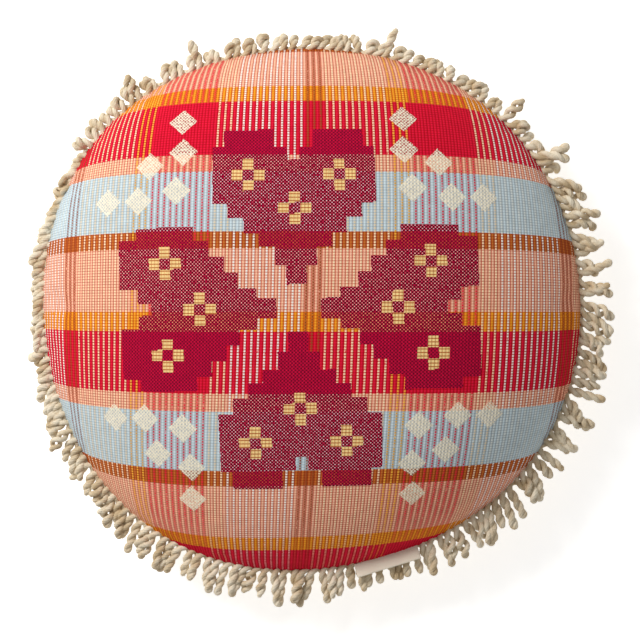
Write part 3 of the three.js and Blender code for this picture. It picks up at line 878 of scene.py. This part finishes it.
def loop_habit(angle, chance):
    """How one loop lies: its length, and the directions in which it starts and ends.

    The cushion has hung from its top edge, so its loops hang towards -Y, and have set that way.
    Along the top they have fallen back behind the seam, apart from a few that stand up.
    """
    outward = Vector((math.cos(angle), math.sin(angle), 0))
    along = Vector((-math.sin(angle), math.cos(angle), 0))
    down = Vector((0, -1, 0))
    wander = along * chance.uniform(-1, 1)
    if math.sin(angle) > TOP_STARTS_AT and chance.random() < STANDING_SHARE:
        length = chance.uniform(25, 31)
        start = outward + wander * 0.3 + UP * 0.1
        end = outward - wander * 0.5
    elif math.sin(angle) > TOP_STARTS_AT:
        length = chance.uniform(24, 33)
        start = outward * 0.85 + wander * 0.3 + UP * chance.uniform(-0.1, 0.4)
        end = outward * chance.uniform(-0.3, 0.1) + wander * 0.6 - UP
    else:
        left = max(0.0, -math.cos(angle))
        low = max(0.0, -math.sin(angle))
        droop = chance.uniform(0.0, 1.1)
        length = chance.uniform(27, 38)
        start = outward * (1 - 0.35 * left) + down * (0.1 + 0.8 * left * (1 - low))
        start += wander * 0.3 + UP * chance.uniform(-0.2, 0.3)
        end = outward * (0.95 - 0.7 * left - 0.5 * droop) + down * (droop + 0.3 * left)
        end += wander * (0.8 - 0.45 * low) - UP * chance.uniform(0, 0.4 + 0.8 * left)
    if abs(angle - 2 * math.pi - LABEL_ANGLE) < LABEL_SHELTER:
        start -= UP * SHELTERED_DROP
        length *= SHELTERED_LENGTH_SHARE
    return length, start.normalized(), end.normalized()


def loop_path(root, along, length, start, end, open_width):
    """Points down one strand of a folded, twisted cord, round its fold and back up the other."""
    knee = root + start * length * 0.55
    tip = knee + end * length * 0.45
    points = []
    turns = length * LOOP_TURNS_PER_MM
    half_pitch = math.pi * SEAM_RADIUS / (FRINGE_SECTIONS * LOOPS_PER_SECTION)

    def axis(t):
        return root.lerp(knee, t).lerp(knee.lerp(tip, t), t)

    def direction(t):
        return (axis(min(t + 0.01, 1.0)) - axis(max(t - 0.01, 0.0))).normalized()

    def side(t, turned):
        forward = direction(t)
        first = (along - forward * along.dot(forward)).normalized()
        second = forward.cross(first)
        return first * math.cos(turned) + second * math.sin(turned)

    def spread(t):
        opening = open_width * math.sin(math.pi * max(0.0, t - 0.3) / 0.7)
        closeness = TWIST_CLOSENESS + (TIP_CLOSENESS - TWIST_CLOSENESS) * t**3
        rooted = max(0.0, 1 - t / ROOT_SPLAY_SHARE) ** 2
        return CORD_RADIUS * (closeness + opening) * (1 - rooted) + half_pitch * rooted

    for step in range(LOOP_STEPS + 1):
        t = step / LOOP_STEPS
        turned = 2 * math.pi * turns * t
        points.append(axis(t) + side(t, turned) * spread(t))
    across = side(1.0, 2 * math.pi * turns)
    forward = direction(1.0)
    for step in range(1, FOLD_STEPS):
        turned = math.pi * step / FOLD_STEPS
        points.append(axis(1.0) + (across * math.cos(turned) + forward * math.sin(turned)) * spread(1.0))
    for step in range(LOOP_STEPS, -1, -1):
        t = step / LOOP_STEPS
        turned = 2 * math.pi * turns * t + math.pi
        points.append(axis(t) + side(t, turned) * spread(t))
    return points


def add_loop(curve, points, thickness):
    spline = curve.splines.new("POLY")
    spline.points.add(len(points) - 1)
    travelled = 0.0
    for index, (point, place) in enumerate(zip(spline.points, points)):
        if index:
            travelled += (place - points[index - 1]).length
        point.co = (*(place * MM), 1)
        point.tilt = 2 * math.pi * travelled / PLY_TURN_LENGTH
        point.radius = thickness


def fringe(cord_material):
    chance = random.Random(FRINGE_SEED)
    section = ply_section()
    count = FRINGE_SECTIONS * LOOPS_PER_SECTION
    for index in range(FRINGE_SECTIONS):
        curve = bpy.data.curves.new("loops", "CURVE")
        curve.dimensions = "3D"
        curve.bevel_mode = "OBJECT"
        curve.bevel_object = section
        curve.use_fill_caps = True
        for loop in range(LOOPS_PER_SECTION):
            angle = 2 * math.pi * (index * LOOPS_PER_SECTION + loop + 0.5) / count
            radius = seam_radius(angle) - ROOT_INSIDE_SEAM
            root = Vector((radius * math.cos(angle), radius * math.sin(angle), SEAM_HEIGHT))
            root += UP * chance.uniform(-0.8, 0.8)
            along = Vector((-math.sin(angle), math.cos(angle), 0))
            length, start, end = loop_habit(angle, chance)
            open_width = chance.choice(OPEN_WIDTHS)
            points = loop_path(root, along, length, start, end, open_width)
            add_loop(curve, points, chance.uniform(0.9, 1.06))
        mesh = shaped_by(curve)
        smooth(mesh)
        mesh.materials.clear()
        mesh.materials.append(cord_material)
        node = f"fringe_section_{index + 1:02d}"
        piece(f"fringe_loops_{index + 1:02d}", mesh, "root", "cotton_cord", node)
    bpy.data.objects.remove(section)


def heading(cord_material):
    """The flat braid that carries the loops, caught between the two cover cloths."""
    bm = bmesh.new()
    bmesh.ops.create_circle(bm, segments=HEADING_STEPS, radius=1)
    inner = list(bm.verts)
    ring = bmesh.ops.extrude_edge_only(bm, edges=list(bm.edges))["geom"]
    outer = [item for item in ring if isinstance(item, bmesh.types.BMVert)]
    for verts, inside in ((inner, HEADING_INSIDE_SEAM), (outer, HEADING_EDGE_INSIDE_SEAM)):
        for vertex in verts:
            angle = math.atan2(vertex.co.y, vertex.co.x)
            radius = seam_radius(angle) - inside
            vertex.co = Vector((radius * math.cos(angle), radius * math.sin(angle), SEAM_HEIGHT)) * MM
    bmesh.ops.recalc_face_normals(bm, faces=bm.faces)
    thicken = {"thickness": HEADING_THICKNESS * MM, "offset": 0.0}
    rounding = {"width": 0.4 * MM, "segments": 2}
    mesh = shaped_by(mesh_of(bm, "heading"), ("SOLIDIFY", thicken), ("BEVEL", rounding))
    smooth(mesh)
    mesh.materials.append(cord_material)
    piece("heading_braid", mesh, "root", "cotton_cord", "fringe_heading")


# ---- The back panels ------------------------------------------------------------------------

CANVAS_STEPS = 2
CANVAS_THICKNESS = 1.7
PANEL_JOIN_HALF_GAP = 0.15
STITCH_PITCH = 3.2
STITCH_SIZE = (2.3, 0.62, 0.5)
STITCH_OUTSIDE_FOLD = 4.0


def hollow_rise(x, y, depth, mouth, ledge):
    """How far the underside is pressed up over the zip, for points given in millimetres."""
    across = (mouth - np.abs(y)) / (mouth - ledge)
    along = (RECESS_END - np.abs(x)) / RECESS_END_EASE
    return depth * ease(across) * ease(along)


def press_hollow(mesh):
    places = coordinates(mesh) / MM
    rise = hollow_rise(places[:, 0], places[:, 1], RECESS_DEPTH, RECESS_MOUTH_HALF, RECESS_LEDGE_HALF)
    places[:, 2] = np.maximum(places[:, 2], rise)
    place_vertices(mesh, places * MM)


def cut_along(bm, through, across, keep_far=False):
    """Cuts a bmesh by a plane, and drops what lies behind it when asked."""
    geometry = list(bm.verts) + list(bm.edges) + list(bm.faces)
    bmesh.ops.bisect_plane(
        bm,
        geom=geometry,
        dist=1e-7,
        plane_co=through,
        plane_no=across,
        clear_inner=keep_far,
    )


def half_underside(whole, side):
    """One half of the underside, open along the zip and met by its fellow past the zip's ends."""
    bm = bmesh.new()
    bm.from_mesh(whole)
    cut_along(bm, (0, side * PANEL_JOIN_HALF_GAP * MM, 0), (0, side, 0), keep_far=True)
    cut_along(bm, (0, side * FOLD_GAP_HALF * MM, 0), (0, side, 0))
    for end in (-1, 1):
        cut_along(bm, (end * SLOT_HALF * MM, 0, 0), (end, 0, 0))
    opening = []
    for face in bm.faces:
        middle = face.calc_center_median() / MM
        if abs(middle.x) < SLOT_HALF and abs(middle.y) < FOLD_GAP_HALF:
            opening.append(face)
    bmesh.ops.delete(bm, geom=opening, context="FACES")
    thicken = {"thickness": CANVAS_THICKNESS * MM, "offset": -1.0}
    return shaped_by(mesh_of(bm, "half"), ("SOLIDIFY", thicken))


def back_panels(disc, places):
    whole = laid_on(disc, places, CANVAS_STEPS)
    whole.flip_normals()
    press_hollow(whole)
    cloth = cotton_canvas()
    for word, side in (("upper", 1), ("lower", -1)):
        mesh = half_underside(whole, side)
        smooth(mesh)
        mesh.materials.append(cloth)
        made = piece(f"back_cloth_{word}", mesh, "root", "back_canvas", f"back_panel_{word}")


def topstitching(thread):
    """A row of lockstitches on each side of the zip, a little way out from the fold."""
    bm = bmesh.new()
    count = int(2 * SLOT_HALF / STITCH_PITCH)
    for side in (-1, 1):
        for index in range(count):
            x = (index - (count - 1) / 2) * STITCH_PITCH
            y = side * (FOLD_GAP_HALF + STITCH_OUTSIDE_FOLD)
            z = hollow_rise(x, y, RECESS_DEPTH, RECESS_MOUTH_HALF, RECESS_LEDGE_HALF)
            place = Matrix.Translation(Vector((x, y, float(z))) * MM)
            size = Matrix.Diagonal([length * MM for length in STITCH_SIZE] + [1.0])
            bmesh.ops.create_uvsphere(bm, u_segments=6, v_segments=4, radius=0.5, matrix=place @ size)
    mesh = mesh_of(bm, "topstitching")
    smooth(mesh)
    mesh.materials.append(thread)
    piece("zip_topstitching", mesh, "root", "back_canvas")


# ---- The inner pad --------------------------------------------------------------------------

PAD_RIM_INSET = 12.0
PAD_FACE_INSET = 5.0
PAD_BELLY_INSET = 3.4
PAD_HOLLOW_TOP = 13.4
PAD_HOLLOW_MOUTH = 27.0
PAD_HOLLOW_LEDGE = 21.0
CASING_THICKNESS = 1.0
CASING_SEAM_HALF_GAP = 0.3
FILL_INSET = 2.2


def pad_faces(front, back, inset):
    """The settled cover's two faces set in all round, and pressed up over the zip."""
    top, bottom = front.copy(), back.copy()
    for face in (top, bottom):
        face[:, :2] *= 1 - (PAD_RIM_INSET + inset) / SEAM_RADIUS
    height = 1 - (PAD_FACE_INSET + inset) / CROWN_ABOVE_SEAM
    top[:, 2] = SEAM_HEIGHT + (top[:, 2] - SEAM_HEIGHT) * height
    bottom[:, 2] = SEAM_HEIGHT - (SEAM_HEIGHT - bottom[:, 2]) * (1 - (PAD_BELLY_INSET + inset) / SEAM_HEIGHT)
    mouth, ledge = PAD_HOLLOW_MOUTH + inset, PAD_HOLLOW_LEDGE + inset
    rise = hollow_rise(bottom[:, 0], bottom[:, 1], PAD_HOLLOW_TOP + inset, mouth, ledge)
    bottom[:, 2] = np.maximum(bottom[:, 2], rise)
    return top, bottom


def inner_pad(disc, front, back):
    """A calico casing in two discs, and the hollow-fibre fill inside it."""
    calico = unbleached_calico()
    top, bottom = pad_faces(front, back, 0)
    for word, places, side in (("top", top, 1), ("bottom", bottom, -1)):
        mesh = laid_on(disc, places + np.array([0, 0, side * CASING_SEAM_HALF_GAP]), 1)
        if side < 0:
            mesh.flip_normals()
        mesh = shaped_by(mesh, ("SOLIDIFY", {"thickness": CASING_THICKNESS * MM, "offset": -1.0}))
        smooth(mesh)
        mesh.materials.append(calico)
        made = piece(f"casing_{word}", mesh, "root", "calico", f"insert_casing_{word}")
    bag = both_faces(disc, *pad_faces(front, back, FILL_INSET))
    bm = bmesh.new()
    bm.from_mesh(bag)
    rim = [vertex for vertex in bm.verts if vertex.is_boundary]
    bmesh.ops.remove_doubles(bm, verts=rim, dist=3.0 * MM)
    finer = {"levels": 1, "render_levels": 1}
    mesh = shaped_by(mesh_of(bm, "fill"), ("SUBSURF", finer))
    smooth(mesh)
    mesh.materials.append(hollow_fibre())
    made = piece("fibre_fill", mesh, "root", "fibre_fill", "insert_fill")


# ---- The zip --------------------------------------------------------------------------------

COIL_TURN_PITCH = 1.45
COIL_WIRE_RADIUS = 0.36
COIL_TURN_STEPS = 10


def softened(node, width):
    """A copy of a CAD node's mesh with its hard edges rounded over, by a width in millimetres."""
    bm = bmesh.new()
    bm.from_mesh(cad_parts[node].data)
    bmesh.ops.remove_doubles(bm, verts=bm.verts, dist=0.01 * MM)
    bmesh.ops.dissolve_limit(bm, angle_limit=math.radians(1), verts=bm.verts, edges=bm.edges)
    hard = [edge for edge in bm.edges if edge.is_manifold and edge.calc_face_angle() > math.radians(25)]
    bmesh.ops.bevel(
        bm,
        geom=hard,
        offset=width * MM,
        affect="EDGES",
        segments=2,
        profile=0.5,
        material=-1,
        clamp_overlap=True,
    )
    bmesh.ops.triangulate(bm, faces=[face for face in bm.faces if len(face.verts) > 4])
    return mesh_of(bm, node)


def zip_coil(word, material):
    """One side's teeth: a nylon wire wound in an upright oval, sewn along the tape's edge."""
    low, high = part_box(f"zip_coil_{word}")
    middle = (low + high) / 2
    half = (high - low) / 2 - Vector((0, COIL_WIRE_RADIUS, COIL_WIRE_RADIUS)) * MM
    turns = round((high.x - low.x) / MM / COIL_TURN_PITCH) - 1
    curve = bpy.data.curves.new("coil", "CURVE")
    curve.dimensions = "3D"
    curve.bevel_depth = COIL_WIRE_RADIUS * MM
    curve.bevel_resolution = 1
    curve.use_fill_caps = True
    spline = curve.splines.new("POLY")
    count = turns * COIL_TURN_STEPS
    spline.points.add(count)
    for index, point in enumerate(spline.points):
        turn = 2 * math.pi * index / COIL_TURN_STEPS
        along = (index / count - 0.5) * turns * COIL_TURN_PITCH * MM
        y = middle.y + half.y * math.cos(turn)
        point.co = (middle.x + along, y, middle.z + half.z * math.sin(turn), 1)
    mesh = shaped_by(curve)
    smooth(mesh)
    mesh.materials.clear()
    mesh.materials.append(material)
    piece(f"coil_teeth_{word}", mesh, "root", "zip_coil", f"zip_coil_{word}")


def zip_parts():
    brass = antique_brass()
    nylon = nylon_coil()
    tape = zip_tape()
    for word in ("upper", "lower"):
        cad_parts[f"zip_tape_{word}"].data.materials.clear()
        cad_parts[f"zip_tape_{word}"].data.materials.append(tape)
        zip_coil(word, nylon)
    fittings = (
        ("top_stop_upper", "zip_top_stop_upper", "root", 0.35),
        ("top_stop_lower", "zip_top_stop_lower", "root", 0.35),
        ("bottom_stop", "zip_bottom_stop", "root", 0.4),
        ("slider", "zip_slider", "slider", 0.28),
        ("pull_tab", "zip_pull", "pull", 0.25),
    )
    for name, node, body, width in fittings:
        mesh = softened(node, width)
        smooth(mesh)
        mesh.materials.append(brass)
        piece(name, mesh, body, "zip_brass", node)


# ---- The label ------------------------------------------------------------------------------

LABEL_ANGLE = math.radians(-72.9)
LABEL_LENGTH = 68.0
LABEL_DEPTH = 13.5
LABEL_THICKNESS = 0.6
LABEL_EDGE_FROM_MIDDLE = 6.0
LABEL_FOLD_RADIUS = 0.75
LABEL_INNER_HEIGHT = 2.6
LABEL_OUTER_HEIGHT = 7.6


def label():
    """A blank tape folded double: its cut edges go into the seam and its fold lies outwards."""
    low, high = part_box("woven_label")
    outward = Vector((math.cos(LABEL_ANGLE), math.sin(LABEL_ANGLE), 0))
    along = Vector((-math.sin(LABEL_ANGLE), math.cos(LABEL_ANGLE), 0))
    middle = (low + high) / 2 / MM
    straight = LABEL_DEPTH - LABEL_FOLD_RADIUS
    bend = math.pi * LABEL_FOLD_RADIUS
    bm = bmesh.new()
    bmesh.ops.create_grid(bm, x_segments=40, y_segments=36, size=0.5)
    for vertex in bm.verts:
        across = vertex.co.x * LABEL_LENGTH
        travelled = (vertex.co.y + 0.5) * (2 * straight + bend)
        turn = (min(max(travelled, straight), straight + bend) - straight) / LABEL_FOLD_RADIUS
        flat = min(travelled, straight) - max(0.0, travelled - straight - bend)
        out = flat + LABEL_FOLD_RADIUS * math.sin(turn)
        up = LABEL_FOLD_RADIUS * math.cos(turn)
        share = out / LABEL_DEPTH
        rise = SEAM_HEIGHT + LABEL_INNER_HEIGHT + (LABEL_OUTER_HEIGHT - LABEL_INNER_HEIGHT) * share
        ripple = 0.5 * share * math.sin(across / 9.0) + 0.25 * math.sin(across / 4.1 + 1.3)
        place = middle + outward * (out - LABEL_DEPTH + LABEL_EDGE_FROM_MIDDLE) + along * across
        vertex.co = Vector((place.x, place.y, rise + up + ripple)) * MM
    bmesh.ops.recalc_face_normals(bm, faces=bm.faces)
    thicken = {"thickness": LABEL_THICKNESS * MM, "offset": 0.0}
    mesh = shaped_by(mesh_of(bm, "label"), ("SOLIDIFY", thicken))
    smooth(mesh)
    mesh.materials.append(label_tape())
    piece("blank_label", mesh, "root", "label_tape", "woven_label")


# ---- Studio ---------------------------------------------------------------------------------

CAMERA_HEIGHT = 2.4
VIEW_WIDTH = 0.659
VIEW_MIDDLE = (0.0107, -0.0122)
FLOOR_HALF = 40.0
FLOOR_GLOW = 0.6
SKY_STRENGTH = 0.36
KEY_PLACE = (-1.64, 1.3, 2.05)
KEY_AIM = (0, 0, 0.08)
KEY_SIZE = 1.2
KEY_POWER = 66


def studio():
    """A pale floor, a soft key from the upper left and the camera straight above."""
    lens = bpy.data.cameras.new("camera")
    lens.sensor_width = 36
    lens.lens = 36 * (CAMERA_HEIGHT - SEAM_HEIGHT * MM) / VIEW_WIDTH
    lens.clip_end = 20
    camera = bpy.data.objects.new("camera", lens)
    camera.location = (*VIEW_MIDDLE, CAMERA_HEIGHT)
    bpy.context.scene.collection.objects.link(camera)
    bpy.context.scene.camera = camera

    bm = bmesh.new()
    bmesh.ops.create_grid(bm, x_segments=1, y_segments=1, size=FLOOR_HALF)
    mesh = mesh_of(bm, "floor")
    floor = bpy.data.objects.new("floor", mesh)
    bpy.context.scene.collection.objects.link(floor)
    paint, _, shader = new_material("pale_floor", roughness=0.9, specular=0.0)
    shader.inputs["Base Color"].default_value = colour("#f3f3f3")
    shader.inputs["Emission Color"].default_value = colour("#ffffff")
    shader.inputs["Emission Strength"].default_value = FLOOR_GLOW
    mesh.materials.append(paint)

    world = bpy.data.worlds.new("studio")
    world.use_nodes = True
    world.node_tree.nodes["Background"].inputs["Color"].default_value = colour("#fffefc")
    world.node_tree.nodes["Background"].inputs["Strength"].default_value = SKY_STRENGTH
    bpy.context.scene.world = world
    key_light()
    bpy.context.scene.view_settings.view_transform = "Standard"


def key_light():
    lamp = bpy.data.lights.new("key", "AREA")
    lamp.shape = "DISK"
    lamp.size = KEY_SIZE
    lamp.energy = KEY_POWER
    made = bpy.data.objects.new("key", lamp)
    made.location = KEY_PLACE
    aim = Vector(KEY_AIM) - made.location
    made.rotation_mode = "QUATERNION"
    made.rotation_quaternion = aim.to_track_quat("-Z", "Y")
    bpy.context.scene.collection.objects.link(made)


# ---- Assembly -------------------------------------------------------------------------------

FLOOR_PATCH_RADIUS = 160.0


def build():
    studio()
    disc = cut_disc()
    flat = coordinates(disc)
    front = draw_over(flat, crown_profile())
    back = draw_over(flat, belly_profile(FLOOR_PATCH_RADIUS))
    front, back = settle(disc, front, back, FLOOR_PATCH_RADIUS)
    inner_pad(disc, front, back)
    part_the_edges(disc, front, back)
    front_panel(disc, front)
    back_panels(disc, back)
    cord = cotton_cord()
    topstitching(cord)
    heading(cord)
    fringe(cord)
    label()
    zip_parts()


build()
